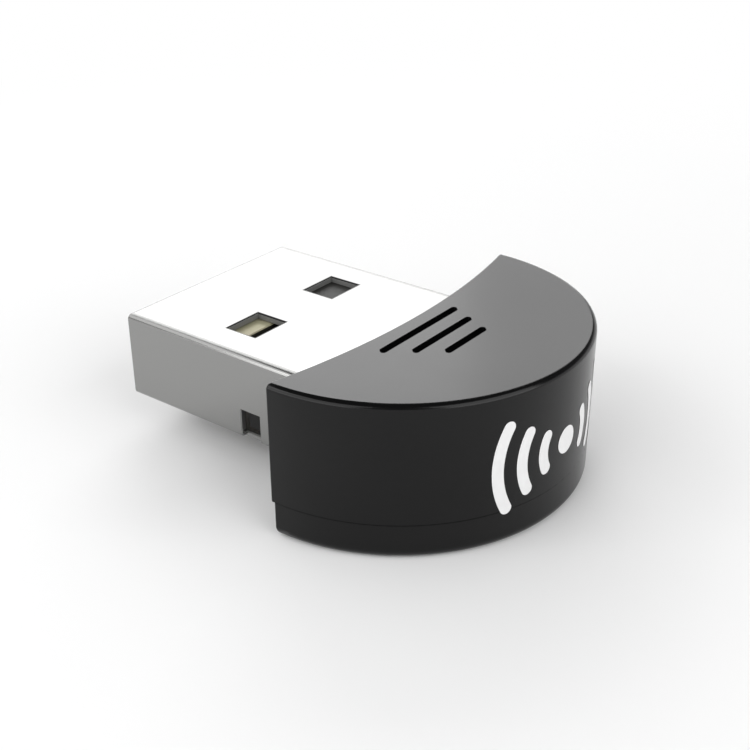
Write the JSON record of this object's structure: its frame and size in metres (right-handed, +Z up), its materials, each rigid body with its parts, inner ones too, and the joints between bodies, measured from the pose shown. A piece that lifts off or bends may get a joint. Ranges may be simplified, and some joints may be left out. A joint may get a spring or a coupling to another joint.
{
  "type": "usb bluetooth adapter",
  "caption": "Small wireless adapter: a folded metal USB plug with windows and latch notches in a black crescent-shaped moulded housing with slanted grooves in its roof.",
  "frame": {"origin": "on the surface that the housing rests on, under the middle of the whole adapter's box", "axes": "+Z up, +Y out of the plug's mouth, +X across the adapter"},
  "size_m": [0.0188, 0.022, 0.0077],
  "materials": {
    "housing": "fine satin moulded finish, black",
    "plug_metal": "bright nickel plate on folded steel sheet",
    "core_plastic": "plain black moulding with a low sheen",
    "board": "green solder mask on glass fibre laminate",
    "contact_gold": "thin gold plate, polished",
    "chip_epoxy": "dark moulded epoxy with a laser-dulled top",
    "crystal_lid": "plated lid, brushed, on a ceramic base",
    "capacitor_ceramic": "unglazed tan ceramic with tinned ends",
    "ferrite": "dark grey sintered ferrite with tinned ends",
    "resistor_film": "black glazed film on white ceramic, tinned ends",
    "antenna_ceramic": "pale ceramic with a printed silver line"
  },
  "bodies": {
    "root": {"top_cover": "housing", "base_cover": "housing", "plug_shell": "plug_metal", "plug_core": "core_plastic", "circuit_board": "board", "contact_vbus": "contact_gold", "contact_data_minus": "contact_gold", "contact_data_plus": "contact_gold", "contact_ground": "contact_gold", "radio_chip": "chip_epoxy", "crystal": "crystal_lid", "chip_antenna": "antenna_ceramic", "antenna_inductor": "ferrite", "antenna_capacitor": "capacitor_ceramic", "ferrite_bead": "ferrite", "input_capacitor": "capacitor_ceramic", "output_capacitor": "capacitor_ceramic", "power_inductor": "ferrite", "voltage_regulator": "chip_epoxy", "memory_chip": "chip_epoxy", "decoupling_capacitor_1": "capacitor_ceramic", "decoupling_capacitor_2": "capacitor_ceramic", "decoupling_capacitor_3": "capacitor_ceramic", "decoupling_capacitor_4": "capacitor_ceramic", "crystal_capacitor_1": "capacitor_ceramic", "crystal_capacitor_2": "capacitor_ceramic", "data_resistor_minus": "resistor_film", "data_resistor_plus": "resistor_film"}
  },
  "joints": []
}
